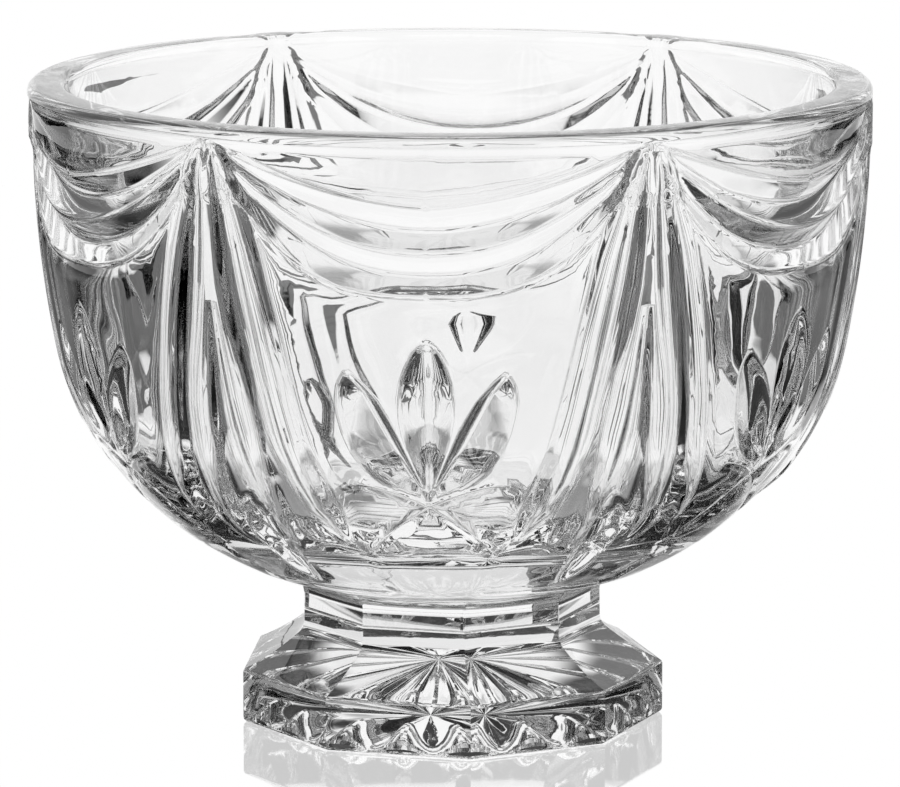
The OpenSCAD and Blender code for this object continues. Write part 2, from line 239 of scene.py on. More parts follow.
# Painted shadows on the table: of the bowl, and of the dark cards to each side
for centre, (inner, outer), level in (
        ((0, 0, 0), bowl_shadow, bowl_shadow_level),
        ((card_shadow_x, 0, 0), card_shadow, card_shadow_level),
        ((-card_shadow_x, 0, 0), card_shadow, card_shadow_level)):
    from_shadow = add(nodes, "ShaderNodeVectorMath", {"operation": "DISTANCE"},
                      i0=spot, i1=centre).outputs["Value"]
    shadow = add(nodes, "ShaderNodeMapRange", smooth, Value=from_shadow, From_Min=inner,
                 From_Max=outer, To_Min=level, To_Max=1.0).outputs[0]
    shade = add(nodes, "ShaderNodeMath", times, i0=shade, i1=shadow).outputs[0]
# A painted pool of light on the table behind the foot, and painted light in the table's front
# corners
from_patch = add(nodes, "ShaderNodeVectorMath", {"operation": "DISTANCE"},
                 i0=spot, i1=patch_middle).outputs["Value"]
painted_light_patch = add(nodes, "ShaderNodeMapRange", smooth, Value=from_patch, From_Min=patch_edge[0],
            From_Max=patch_edge[1], To_Min=patch_level, To_Max=0.0).outputs[0]
corners = add(nodes, "ShaderNodeMapRange", smooth, Value=across, From_Min=corner_sides[0],
              From_Max=corner_sides[1], To_Min=0.0, To_Max=corner_level).outputs[0]
near = add(nodes, "ShaderNodeMapRange", smooth, Value=along, From_Min=corner_back[0],
           From_Max=corner_back[1], To_Min=1.0, To_Max=0.0).outputs[0]
corners = add(nodes, "ShaderNodeMath", times, i0=corners, i1=near).outputs[0]
for bright in (painted_light_patch, corners):
    shade = add(nodes, "ShaderNodeMath", larger, i0=shade, i1=bright).outputs[0]
# Painted light under the middle of the foot and painted shade in a ring round it, out to the foot's
# edge
from_middle = add(nodes, "ShaderNodeVectorMath", {"operation": "LENGTH"}, i0=spot).outputs["Value"]
under_foot = add(nodes, "ShaderNodeMapRange", smooth, Value=from_middle,
                 From_Min=under_foot_edge[0], From_Max=under_foot_edge[1],
                 To_Min=under_foot_levels[0], To_Max=under_foot_levels[1]).outputs[0]
clear_of_foot = add(nodes, "ShaderNodeMapRange", smooth, Value=from_middle,
                    From_Min=foot_edge_r[0], From_Max=foot_edge_r[1]).outputs[0]
shade = add(nodes, "ShaderNodeMix", Factor=clear_of_foot, i2=under_foot, i3=shade).outputs[0]

# To the eye the table is white with a mirror's share of the bowl's image, and
# from below it is clear. What is left is the acrylic that bounces light.
mirror_share = 0.42
polish = 0.03
gloss = add(nodes, "ShaderNodeBsdfPrincipled", Base_Color=linear("#D8D8D8"), Roughness=polish,
            IOR=1.49)
# The glass sees the table's painted light and shade as this glow, not as light from the lamps
glow = add(nodes, "ShaderNodeEmission", Color=linear("#FFFFFF"), Strength=shade)
path = add(nodes, "ShaderNodeLightPath").outputs
through = add(nodes, "ShaderNodeMath", larger, i0=path["Is Glossy Ray"],
              i1=path["Is Transmission Ray"]).outputs[0]
in_glass = add(nodes, "ShaderNodeMixShader", Fac=through, i1=gloss.outputs[0],
               i2=glow.outputs[0])
white = add(nodes, "ShaderNodeEmission", Color=linear("#FFFFFF"), Strength=1.0)
mirror = add(nodes, "ShaderNodeBsdfAnisotropic", Color=linear("#FFFFFF"), Roughness=polish)
direct = add(nodes, "ShaderNodeMixShader", Fac=mirror_share, i1=white.outputs[0],
             i2=mirror.outputs[0])
below = add(nodes, "ShaderNodeNewGeometry").outputs["Backfacing"]
clear = add(nodes, "ShaderNodeBsdfTransparent")
direct = add(nodes, "ShaderNodeMixShader", Fac=below, i1=direct.outputs[0], i2=clear.outputs[0])
surface = add(nodes, "ShaderNodeMixShader", Fac=path["Is Camera Ray"], i1=in_glass.outputs[0],
              i2=direct.outputs[0])
add(nodes, "ShaderNodeOutputMaterial", Surface=surface.outputs[0])
table_mesh.materials.append(acrylic)

# Glass inside glass needs many bounces
scene.cycles.max_bounces = 32
scene.cycles.transmission_bounces = 32
scene.cycles.glossy_bounces = 12

# Bowl
# Clear lead crystal, pressed in one piece with its short neck. The relief is
# in six panels: swags hung from six points under the rim, a drape of pleats
# under each point, and a palm of three leaves over crossed sprigs.
mm = 0.001
bowl_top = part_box("bowl")[1]
bowl_h = bowl_top.z / mm
rim_r = bowl_top.x / mm
bowl_foot_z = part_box("bowl")[0].z / mm

# The outside in profile: an upright band, then three arcs. s is the distance
# along it from the rim, in mm, and turn is how far it leans from upright.
band_h = 8.9
arc_radii = (316.0, 74.0, 88.0)
arc_turns = (math.radians(10.75), math.radians(48.0), math.radians(25.0))
wall_starts = [(0.0, rim_r, 0.0, 0.0), (band_h, rim_r, band_h, 0.0)]
for radius, turn in zip(arc_radii, arc_turns):
    s0, r0, d0, t0 = wall_starts[-1]
    wall_starts.append((
        s0 + radius * turn,
        r0 + radius * (math.cos(t0 + turn) - math.cos(t0)),
        d0 + radius * (math.sin(t0 + turn) - math.sin(t0)),
        t0 + turn))


def wall(s):
    """Radius, height and lean of the plain outside at a distance from the rim."""
    s = np.asarray(s, float)
    r, z, lean = np.full(s.shape, rim_r), bowl_h - s, np.zeros(s.shape)
    for (s0, r0, d0, t0), radius in zip(wall_starts[1:], arc_radii):
        here = s > s0
        t = t0 + (s - s0) / radius
        r = np.where(here, r0 + radius * (np.cos(t) - math.cos(t0)), r)
        z = np.where(here, bowl_h - d0 - radius * (np.sin(t) - math.sin(t0)), z)
        lean = np.where(here, t, lean)
    return r, z, lean


# Places in a half panel are an angle from the panel's middle (0 to 30
# degrees) and s. The drape hangs at 30 degrees.
half_panel = 30.0
pattern_top_s = 3.0
pattern_end_s = 150.0
pattern_fade_in = (3.0, 6.0)
pattern_fade_out = (142, 149)
ground_depth = 1.5
ground_s = (3.0, 4.2, 6, 11, 15, 18, 118, 149)
ground_shares = (0, 0.55, 0.65, 0.5, 0.6, 1, 1, 0)
swag_depth = 3.8
swag_slope = 0.70
swag_end_w = 1.5
inner_pleat_rise = 1.9
inner_pleat_end = (105, 120)
outer_pleat_rise = 1.3
outer_pleat_end = (100, 112)
rib_tilt = 0.16
flute_hollow = 0.28
flute_max = 2.2
flute_end = (104, 118)
palm_depth = 4.2
low_leaf_depth = 3.6
flank_slope = 0.80
flank_belly = 0.3
roll_width = 5.0
roll_depth = 0.7
edge_slope = 0.9

# How far each swag line hangs down in the panel's middle, from ends that are
# all at one s, and how square its curve is
swag_top = 3.0
swag_lines = ((14.5, 1.6), (20.3, 2.0), (25.8, 2.1), (31.7, 2.35), (36.8, 3.0))

# Pleat lines, in degrees from the middle of the drape: the inner pleat's two
# edges, then the outer pleat's inner edge, its crest and its outer edge
pleat_s = (3, 4, 10, 20, 30, 39, 50, 60, 70, 80, 90, 100, 112, 120)
pleat_lines = (
    (0, 0, 0, 0, 0, 0, 0.6, 1.1, 1.75, 2.4, 3.2, 4.0, 4.7, 5.1),
    (0.5, 0.6, 0.7, 0.9, 1.1, 1.6, 2.6, 3.9, 4.8, 5.4, 5.9, 6.1, 6.0, 5.6),
    (0.8, 0.9, 1.7, 3.1, 4.4, 5.3, 6.4, 7.2, 8.2, 9.1, 10.4, 12.2, 15.2, 17.2),
    (1.0, 1.2, 2.4, 4.0, 5.5, 6.6, 7.8, 8.8, 9.8, 10.7, 11.9, 13.5, 15.6, 17.6),
    (1.2, 1.6, 3.2, 5.0, 6.8, 7.8, 9.1, 10.1, 11.2, 12.3, 14.0, 15.3, 16.0, 18.0))

# Leaf edges: s, then degrees from the leaf's own middle line. A side leaf has
# its inner edge, its crease and its outer edge, from the panel's middle.
middle_leaf = (
    (50.5, 0.0), (53, 1.6), (57, 2.7), (61, 3.4), (66, 3.75), (70, 3.75), (75, 3.3), (80, 2.6),
    (85, 1.7), (91, 0.4))
middle_leaf_floor = 0.5
leaf_floor_share = 0.4
side_leaf = (
    (58.5, 11.0, 11.0, 11.0), (62, 9.0, 9.9, 12.0), (66, 7.0, 8.6, 12.3), (70, 5.7, 7.6, 12.1),
    (75, 4.4, 6.2, 11.6), (80, 3.3, 4.9, 10.6), (85, 2.2, 3.4, 8.8), (91, 0.8, 1.2, 4.9))
side_leaf_steeper = 2.2
low_leaf = (
    (95, 0.0), (98, 1.5), (104, 2.6), (110, 3.2), (116, 3.4), (122, 3.2), (128, 2.7), (134, 1.8),
    (139, 0.2))

# Crossed sprigs: they cross at the panel's middle and bow upwards
sprig_cross_s = 97.0
sprig_up = (10.8, 90.0)
sprig_down = (10.8, 115.5)
sprig_half_width = 0.9
sprig_depth = 0.8
sprig_bow = 1.0
sprig_end_w = 1.5


def across_mm(s):
    """Millimetres in one degree round the bowl."""
    return wall(s)[0] * math.pi / 180


def swag_s(k, u):
    """s of a swag line at an angle from the panel's middle."""
    drop, square = swag_lines[k]
    return swag_top + drop * (1 - (np.clip(u, 0, half_panel) / half_panel) ** square)


def pleat_line(k, s):
    """Degrees from the middle of the drape to a pleat line."""
    return np.interp(s, pleat_s, pleat_lines[k])


def sprig_s(arm, u):
    """s of a sprig's arm at an angle, with a slight upward bow."""
    end_u, end_s = arm
    t = u / end_u
    return sprig_cross_s + (end_s - sprig_cross_s) * t - sprig_bow * 4 * t * (1 - t)


def bellied(t):
    """A flank's share of its depth, which falls a little faster at its edge."""
    return t * (1 + flank_belly - flank_belly * t)


def off_drape(u, s):
    """Millimetres from the outer pleat's outer edge, towards the panel's middle."""
    return (half_panel - u - pleat_line(4, s)) * across_mm(s)


def pleat_rise(rise, end, s):
    """Height of a pleat's crest, which fades in under the rim and out low on the bowl."""
    return rise * np.interp(s, pattern_fade_in + end, (0, 1, 1, 0))


def pleat_side(s):
    """Height of the outer pleat's outer edge, where its side falls to the ground."""
    tilt = rib_tilt * (pleat_line(4, s) - pleat_line(3, s)) * across_mm(s)
    return np.maximum(pleat_rise(outer_pleat_rise, outer_pleat_end, s) - tilt, 0)


def pleats(phi, s):
    """Height of the pleats and flutes at an angle from the drape's middle."""
    k = across_mm(s)
    inner_near, inner_far, outer_near, outer_crest, outer_far = (
        pleat_line(i, s) for i in range(5))
    inner_crest = (inner_near + inner_far) / 2
    inner = pleat_rise(inner_pleat_rise, inner_pleat_end, s)
    outer = pleat_rise(outer_pleat_rise, outer_pleat_end, s)

    def roof(at, crest, top):
        """Height at an angle of a low roof with its crest at another."""
        return top - rib_tilt * np.abs(at - crest) * k

    def flute(lo, hi, h_lo, h_hi):
        """A round hollow between two edges."""
        width = np.maximum(hi - lo, 1e-6) * k
        t = np.clip((phi - lo) * k / width, 0, 1)
        dip = np.minimum(flute_hollow * width, flute_max)
        dip = dip * np.interp(s, pattern_fade_in + flute_end, (0, 1, 1, 0))
        return h_lo + (h_hi - h_lo) * t - dip * 4 * t * (1 - t)

    near = np.maximum(roof(inner_near, inner_crest, inner), 0)
    far = np.maximum(roof(inner_far, inner_crest, inner), 0)
    next_near = np.maximum(roof(outer_near, outer_crest, outer), 0)
    return np.select(
        [phi < inner_near, phi < inner_far, phi < outer_near, phi < outer_far],
        [flute(-inner_near, inner_near, near, near),
         roof(phi, inner_crest, inner),
         flute(inner_far, outer_near, far, next_near),
         roof(phi, outer_crest, outer)],
        np.maximum(pleat_side(s) - edge_slope * (phi - outer_far) * k, 0))


def swags(u, s):
    """Depth of the two swag grooves, which end at the drape."""
    lines = [swag_s(i, u) for i in range(5)]
    groove = 0
    for a, b, c in (lines[0:3], lines[2:5]):
        deep = np.minimum(swag_depth, swag_slope * np.minimum(b - a, c - b))
        deep = deep * np.clip(off_drape(u, s) / swag_end_w, 0, 1)
        down = np.clip((s - a) / np.maximum(b - a, 1e-6), 0, 1)
        up = np.clip((c - s) / np.maximum(c - b, 1e-6), 0, 1)
        groove = np.maximum(groove, deep * np.where(s < b, down, bellied(up)))
    return groove


def roll_over(u, s):
    """Depth by which the ground rolls over into the swags and the drape."""
    top, bottom = swag_s(0, u), swag_s(4, u)
    off_swag = np.where(s < top, top - s, s - bottom)
    nearer = np.minimum(off_swag, np.maximum(off_drape(u, s), 0))
    near = np.clip(1 - nearer / roll_width, 0, 1)
    return roll_depth * near * near * (off_swag >= 0) * np.interp(s, pattern_fade_in, (0, 1))


def leaf_cut(leaf, off_middle, s, depth, floor=0.0):
    """Depth of a leaf with two like flanks, which meet in its middle line or a floor."""
    half = np.interp(s, *zip(*leaf), left=0, right=0)
    flank = half - np.minimum(floor, half * leaf_floor_share)
    depth = np.minimum(depth, flank_slope * np.maximum(flank, 0) * across_mm(s))
    t = np.clip((half - np.abs(off_middle)) / np.maximum(flank, 1e-6), 0, 1)
    return depth * bellied(t)


def side_leaf_cut(u, s):
    """Depth of a side leaf, whose two flanks meet in a bent fold."""
    leaf_s, *leaf_edges = zip(*side_leaf)
    near, fold, far = (np.interp(s, leaf_s, edge) for edge in leaf_edges)
    width = np.minimum(far - fold, side_leaf_steeper * (fold - near))
    depth = np.minimum(palm_depth, flank_slope * width * across_mm(s))
    depth = depth * ((s > leaf_s[0]) & (s < leaf_s[-1]))
    rise = (u - near) / np.maximum(fold - near, 1e-6)
    fall = (far - u) / np.maximum(far - fold, 1e-6)
    return depth * bellied(np.clip(np.where(u < fold, rise, fall), 0, 1))


def sprig_cut(arm, u, s):
    """Depth of the scratch along one arm of a sprig."""
    steep = (arm[1] - sprig_cross_s) / (arm[0] * across_mm(sprig_cross_s))
    off = np.abs(s - sprig_s(arm, u)) / math.sqrt(1 + steep * steep)
    scratch = sprig_depth * np.clip(1 - off / sprig_half_width, 0, 1)
    return scratch * np.clip((arm[0] - u) * across_mm(s) / sprig_end_w, 0, 1)


def relief(u, s):
    """How far the patterned outside stands out from the plain wall, in mm."""
    u = np.abs(u)
    u = np.where(u > half_panel, 2 * half_panel - u, u)
    phi = half_panel - u
    ground = ground_depth * np.interp(s, ground_s, ground_shares)
    cut = np.maximum.reduce([
        leaf_cut(middle_leaf, u, s, palm_depth, middle_leaf_floor),
        side_leaf_cut(u, s),
        leaf_cut(low_leaf, phi, s, low_leaf_depth),
        sprig_cut(sprig_up, u, s),
        sprig_cut(sprig_down, u, s)])
    out = pleats(phi, s) - ground - swags(u, s) - roll_over(u, s) - cut
    return out * np.interp(s, pattern_fade_out, (1, 0))


# Each point takes part of its height from itself and part from six others
# round it, a soft edge's width away
soft_edge = 0.8
soft_share = 0.28
soft_ring_share = 0.12
rim_line = (3.0, 3.6)


def soft_relief(u, s):
    """The relief with its edges rounded, as fire polishing leaves them."""
    u = u - 2 * half_panel * np.round(u / (2 * half_panel))
    out = soft_share * relief(u, s)
    for turn in np.arange(6) * math.pi / 3:
        beside_u = u + soft_edge * math.cos(turn) / across_mm(s)
        beside_s = s + soft_edge * math.sin(turn)
        out = out + soft_ring_share * relief(beside_u, beside_s)
    # Nothing stands out past the rim
    return np.minimum(out * np.interp(s, rim_line, (0, 1)), rim_r - wall(s)[0])


def outside(u, s):
    """Point of the patterned outside, in mm, for angles from the front panel's middle."""
    r, z, lean = wall(s)
    out = soft_relief(u, s)
    angle = np.radians(u)
    r = r + out * np.cos(lean)
    return np.stack([r * np.sin(angle), -r * np.cos(angle), z - out * np.sin(lean)], -1)


# The half panel is laid flat, every ridge, valley and edge is drawn on it as
# a line with a fine line to each side, which rounds it by the width of a
# pressed edge, and the rest is filled with an even net of points.
edge_columns = 24
side_rows = 131
line_step = 1.5
edge_reach = 1.1
net_step = 2.2
line_margins = (0.08, 0.1)
beside_margins = (0.25, 0.3)


def flat(u, s):
    """Places in the half panel as points in mm, laid flat."""
    return np.stack([np.radians(u) * wall(s)[0], -np.asarray(s, float)], -1)


def in_panel(line, margin_u, margin_s):
    """Which flat points are more than a margin inside the half panel, in degrees and mm."""
    s = -line[:, 1]
    u = np.degrees(line[:, 0] / wall(s)[0])
    return ((u > margin_u) & (u < half_panel - margin_u)
            & (s > pattern_top_s + margin_s) & (s < pattern_end_s - margin_s))


def resample(line, step):
    """Even points along a line."""
    length = np.r_[0, np.cumsum(np.hypot(*np.diff(line, axis=0).T))]
    count = max(2, int(round(length[-1] / step)) + 1)
    at = np.linspace(0, length[-1], count)
    return np.stack([np.interp(at, length, line[:, i]) for i in (0, 1)], -1)


points, edges, beside = [], [], []


def draw(u, s):
    """Adds a chain of flat points through places, cut where it leaves the half panel."""
    line = resample(flat(u, s), line_step)
    last = None
    for p, keep in zip(line, in_panel(line, *line_margins)):
        if keep:
            points.append(tuple(p))
            if last is not None:
                edges.append((last, len(points) - 1))
            last = len(points) - 1
        else:
            last = None
    return line


def crease(u, s):
    """Draws a crease through places, and keeps the lines beside it."""
    line = draw(u, s)
    along = np.gradient(line, axis=0)
    along /= np.linalg.norm(along, axis=1)[:, None]
    aside = np.stack([-along[:, 1], along[:, 0]], -1) * edge_reach
    beside.extend(line + aside * offset for offset in (-1, -0.5, 0.5, 1))


# Swags, which stop short of the drape
swag_gap = 0.15
for k in range(5):
    u = half_panel * np.linspace(0, 1, 400)
    s = swag_s(k, u)
    keep = half_panel - u > pleat_line(4, s) + swag_gap
    crease(u[keep], s[keep])

# Pleats, from just under the rim, where they are clear of the drape's middle
pleats_top_s = pattern_top_s + 1.0
inner_lines_end_s = 118.0
outer_lines_end_s = 112.0
narrowest = 0.25
for k in range(5):
    end_s = inner_lines_end_s if k < 2 else outer_lines_end_s
    s = np.linspace(pleats_top_s, end_s, 400)
    phi = pleat_line(k, s)
    keep = phi > narrowest
    crease(half_panel - phi[keep], s[keep])
s = np.linspace(pleats_top_s, inner_lines_end_s, 400)
draw(half_panel - (pleat_line(0, s) + pleat_line(1, s)) / 2, s)

# The outer pleat's side, where it meets the ground
side_top_s = pattern_top_s + 3.0
side_end_s = 105.0
s = np.linspace(side_top_s, side_end_s, 400)
crease(half_panel - pleat_line(4, s) - pleat_side(s) / (edge_slope * across_mm(s)), s)

# Flutes, between the pleats and in the drape's middle
flute_s = (20.0, 112.0)
middle_flute_s = (55.0, 118.0)
s = np.linspace(*flute_s, 300)
for share in (0.2, 0.4, 0.6, 0.8):
    draw(half_panel - pleat_line(1, s) * (1 - share) - pleat_line(2, s) * share, s)
s = np.linspace(*middle_flute_s, 300)
for share in (0.35, 0.7):
    draw(half_panel - pleat_line(0, s) * share, s)

# Leaves, the middle one's floor, the sprigs and the line under the rim
middle_leaf_floor_s = (52.5, 89.5)
under_rim_s = 3.7
for leaf in (middle_leaf, side_leaf):
    leaf_s, *leaf_edges = np.array(leaf, float).T
    for edge in leaf_edges:
        crease(edge, leaf_s)
leaf_s, edge = np.array(low_leaf, float).T
crease(half_panel - edge, leaf_s)
s = np.linspace(*middle_leaf_floor_s, 60)
draw(np.full(60, middle_leaf_floor), s)
for arm in (sprig_up, sprig_down):
    u = np.linspace(0, arm[0], 40)
    crease(u, sprig_s(arm, u))
draw(np.linspace(0, half_panel, 100), np.full(100, under_rim_s))

# Boundary of the half panel
columns = np.linspace(0, half_panel, edge_columns + 1)
side_s = np.linspace(pattern_top_s, pattern_end_s, side_rows)
ring = np.concatenate([
    flat(columns, np.full(columns.shape, pattern_top_s)),
    flat(np.full(side_rows - 2, half_panel), side_s[1:-1]),
    flat(columns[::-1], np.full(columns.shape, pattern_end_s)),
    flat(np.zeros(side_rows - 2), side_s[-2:0:-1])])
ring_start = len(points)
points += [tuple(p) for p in ring]
edges += [(ring_start + i, ring_start + (i + 1) % len(ring)) for i in range(len(ring))]

# The points beside the creases, where they aren't too near to others
beside_gap = 0.4
for line in beside:
    placed = np.array(points)
    points += [tuple(p) for p in line[in_panel(line, *beside_margins)]
               if np.min(np.hypot(*(placed - p).T)) > beside_gap]

net_gap_share = 0.62
net_margin = 0.5
row_step = net_step * math.sqrt(3) / 2
net = []
for row, s in enumerate(np.arange(pattern_top_s + 1.0, pattern_end_s - 1.0, row_step)):
    width = math.radians(half_panel) * float(wall(s)[0])
    xs = np.arange(net_step * (0.5 if row % 2 else 1.0), width - net_margin, net_step)
    net += [(x, -s) for x in xs]
net = np.array(net)
drawn = np.array(points)
nearest = np.array([np.min(np.hypot(*(drawn - p).T)) for p in net])
points += [tuple(p) for p in net[nearest > net_gap_share * net_step]]

on_edge = 1e-3
found, _, faces, *_ = delaunay_2d_cdt(points, edges, [], 0, 1e-4)
found = np.array([tuple(p) for p in found])
panel_s = np.clip(-found[:, 1], pattern_top_s, pattern_end_s)
panel_u = np.degrees(found[:, 0] / wall(panel_s)[0])
panel_u = np.where(np.abs(panel_u) < on_edge, 0, panel_u)
panel_u = np.where(np.abs(panel_u - half_panel) < on_edge, half_panel, panel_u)
panel_points = outside(panel_u, panel_s)

# Above the pattern the wedge goes on as plain rings: the rim's two rounded
# edges and the smooth hollow, down to the middle of its floor
rim_wall = 10.0
rim_round = 2.4
hollow_floor_z = 58.4
hollow_arc_r = 40.0
hollow_turn = math.radians(10.75)
hollow_top_r = rim_r - rim_wall
hollow_bend_z = hollow_floor_z + hollow_arc_r * (1 - math.sin(hollow_turn))
hollow_top_z = bowl_h - rim_round
hollow_wall_h = hollow_top_z - hollow_bend_z
hollow_lean = hollow_wall_h * math.tan(hollow_turn / 2)
hollow_middle_r = hollow_top_r - hollow_lean - hollow_arc_r * math.cos(hollow_turn)
quarter = np.linspace(0, math.pi / 2, 7)
profile = [(rim_r - rim_round * (1 - math.cos(t)), bowl_h - rim_round * (1 - math.sin(t)))
           for t in quarter]
profile += [(hollow_top_r + rim_round * (1 - math.sin(t)), bowl_h - rim_round * (1 - math.cos(t)))
            for t in quarter]
profile += [(hollow_top_r - hollow_lean * fall * fall, hollow_top_z - hollow_wall_h * fall)
            for fall in np.linspace(0, 1, 13)[1:-1]]
profile += [(hollow_middle_r + hollow_arc_r * math.cos(t),
             hollow_floor_z + hollow_arc_r * (1 - math.sin(t)))
            for t in np.linspace(hollow_turn, math.pi / 2, 27)]
profile += [(hollow_middle_r * share, hollow_floor_z) for share in (0.75, 0.5, 0.25)]

wedge_points = [tuple(p) for p in panel_points]
wedge_faces = [tuple(f) for f in faces]
last_row = [int(np.argmin(np.hypot(panel_u - u, panel_s - pattern_top_s))) for u in columns]
for r, z in profile:
    row = []
    for u in np.radians(columns):
        row.append(len(wedge_points))
        wedge_points.append((r * math.sin(u), -r * math.cos(u), z))
    wedge_faces += [(last_row[i], last_row[i + 1], row[i + 1], row[i])
                    for i in range(edge_columns)]
    last_row = row
wedge_points.append((0, 0, hollow_floor_z))
wedge_faces += [(last_row[i], last_row[i + 1], len(wedge_points) - 1)
                for i in range(edge_columns)]


def mesh_object(name, verts, polygons, values=None):
    """A mesh object from points in mm, with an optional value per point."""
    mesh = bpy.data.meshes.new(name)
    mesh.from_pydata([tuple(c * mm for c in p) for p in verts], [], polygons)
    for key, numbers in (values or {}).items():
        given = mesh.attributes.new(key, "FLOAT", "POINT").data
        given.foreach_set("value", np.asarray(numbers, np.float32))
    made = bpy.data.objects.new(name, mesh)
    scene.collection.objects.link(made)
    return made


def round_the_axis():
    """Tree that mirrors a wedge if asked, and sets copies of it round the axis."""
    tree = bpy.data.node_groups.new("round_the_axis", "GeometryNodeTree")
    for name, kind in (("Wedge", "NodeSocketGeometry"), ("Copies", "NodeSocketInt"),
                       ("Mirrored", "NodeSocketBool"), ("Weld", "NodeSocketFloat"),
                       ("Glass", "NodeSocketMaterial")):
        tree.interface.new_socket(name, in_out="INPUT", socket_type=kind)
    tree.interface.new_socket("Whole", in_out="OUTPUT", socket_type="NodeSocketGeometry")
    given = add(tree, "NodeGroupInput").outputs
    other = add(tree, "GeometryNodeTransform", Geometry=given["Wedge"], Scale=(-1, 1, 1)).outputs[0]
    other = add(tree, "GeometryNodeFlipFaces", Mesh=other).outputs[0]
    pair = add(tree, "GeometryNodeJoinGeometry")
    tree.links.new(given["Wedge"], pair.inputs[0])
    tree.links.new(other, pair.inputs[0])
    choices = {"False": given["Wedge"], "True": pair.outputs[0]}
    panel = add(tree, "GeometryNodeSwitch", {"input_type": "GEOMETRY"},
                Switch=given["Mirrored"], **choices).outputs[0]
    spots = add(tree, "GeometryNodePoints", Count=given["Copies"]).outputs[0]
    number = add(tree, "GeometryNodeInputIndex").outputs[0]
    step = add(tree, "ShaderNodeMath", {"operation": "DIVIDE"},
               i0=2 * math.pi, i1=given["Copies"]).outputs[0]
    angle = add(tree, "ShaderNodeMath", times, i0=number, i1=step).outputs[0]
    turned = add(tree, "ShaderNodeCombineXYZ", Z=angle).outputs[0]
    copies = add(tree, "GeometryNodeInstanceOnPoints",
                 Points=spots, Instance=panel, Rotation=turned).outputs[0]
    real = add(tree, "GeometryNodeRealizeInstances", Geometry=copies).outputs[0]
    welded = add(tree, "GeometryNodeMergeByDistance",
                 Geometry=real, Distance=given["Weld"]).outputs[0]
    shaded = add(tree, "GeometryNodeSetShadeSmooth", Geometry=welded).outputs[0]
    done = add(tree, "GeometryNodeSetMaterial",
               Geometry=shaded, Material=given["Glass"]).outputs[0]
    add(tree, "NodeGroupOutput", Whole=done)
    return tree


round_tree = round_the_axis()
weld = 0.004


def set_round(wedge, name, copies, mirrored, material):
    """Bakes copies of a wedge round the axis into one plain mesh object."""
    way = wedge.modifiers.new("round", "NODES")
    way.node_group = round_tree
    ids = {item.name: item.identifier for item in round_tree.interface.items_tree
           if item.in_out == "INPUT"}
    way[ids["Copies"]] = copies
    way[ids["Mirrored"]] = mirrored
    way[ids["Weld"]] = weld * mm
    way[ids["Glass"]] = material
    wedge.data.materials.append(material)
    evaluated = wedge.evaluated_get(bpy.context.evaluated_depsgraph_get())
    whole = bpy.data.meshes.new_from_object(evaluated)
    whole.name = name
    bpy.data.objects.remove(wedge)
    made = bpy.data.objects.new(name, whole)
    scene.collection.objects.link(made)
    return made


# Lead crystal, fire polished after pressing: colourless, very bright, with
# soft pressed edges and a faint waviness. The IOR is that of 24 percent lead
# crystal.
wave_length = 24.0
wave_height = 0.25
crystal = bare_material("pressed_lead_crystal")
nodes = crystal.node_tree
place = add(nodes, "ShaderNodeTexCoord").outputs["Object"]
waves = add(nodes, "ShaderNodeTexNoise", Vector=place, Scale=1 / (wave_length * mm),
            Detail=1.5, Roughness=0.4).outputs[0]
wavy = add(nodes, "ShaderNodeBump", Height=waves, Distance=wave_height * mm).outputs[0]
glass = add(nodes, "ShaderNodeBsdfPrincipled", Base_Color=linear("#FFFFFF"), Roughness=0.0,
            IOR=1.54, Transmission_Weight=1.0, Normal=wavy)
add(nodes, "ShaderNodeOutputMaterial", Surface=glass.outputs[0])

# Where the clear adhesive wets the glass there is no air, so light passes
# straight through
wetted = bare_material("glass_wetted_by_adhesive")
nodes = wetted.node_tree
wet = add(nodes, "ShaderNodeBsdfTransparent", Color=linear("#FFFFFF"))
add(nodes, "ShaderNodeOutputMaterial", Surface=wet.outputs[0])

from_rim = list(panel_s) + [0.0] * (len(wedge_points) - len(panel_s))
wedge = mesh_object("bowl_wedge", wedge_points, wedge_faces, {"from_rim": from_rim})
bowl = set_round(wedge, "crystal_bowl", 6, True, crystal)

# The neck has nine flat sides and a hollow curve, and is closed at the waist
# by the flat that is glued
sides = 9
side_turn = 2 * math.pi / sides
foot_turn = math.radians(8.6)
neck_top_r = 44.0
waist_r = 39.0
waist_edge = 0.4
neck_side_h = 3.4
neck_corner = 0.35
ring_columns = 12 * edge_columns


def side_angles(per_side, corner, count):
    """Angles of the points along flat sides, with a fine pair at each corner."""
    within = np.r_[0, corner, np.linspace(corner, side_turn - corner, per_side - 1)[1:-1],
                   side_turn - corner]
    return np.concatenate([foot_turn + side_turn * i + within for i in range(count)])


def nine_sided(corner_r, angles):
    """Radius of a nine-sided outline at some angles."""
    within = (angles - foot_turn) % side_turn
    return corner_r * math.cos(side_turn / 2) / np.cos(within - side_turn / 2)


_, base_r, base_down, base_lean = wall_starts[3]
base_arc_r = arc_radii[2]
base_centre_r = base_r - base_arc_r * math.cos(base_lean)
base_centre_z = bowl_h - base_down + base_arc_r * math.sin(base_lean)


def underside_z(r):
    """Height of the bowl's plain underside at a radius."""
    return base_centre_z - base_arc_r * np.sin(np.arccos((r - base_centre_r) / base_arc_r))


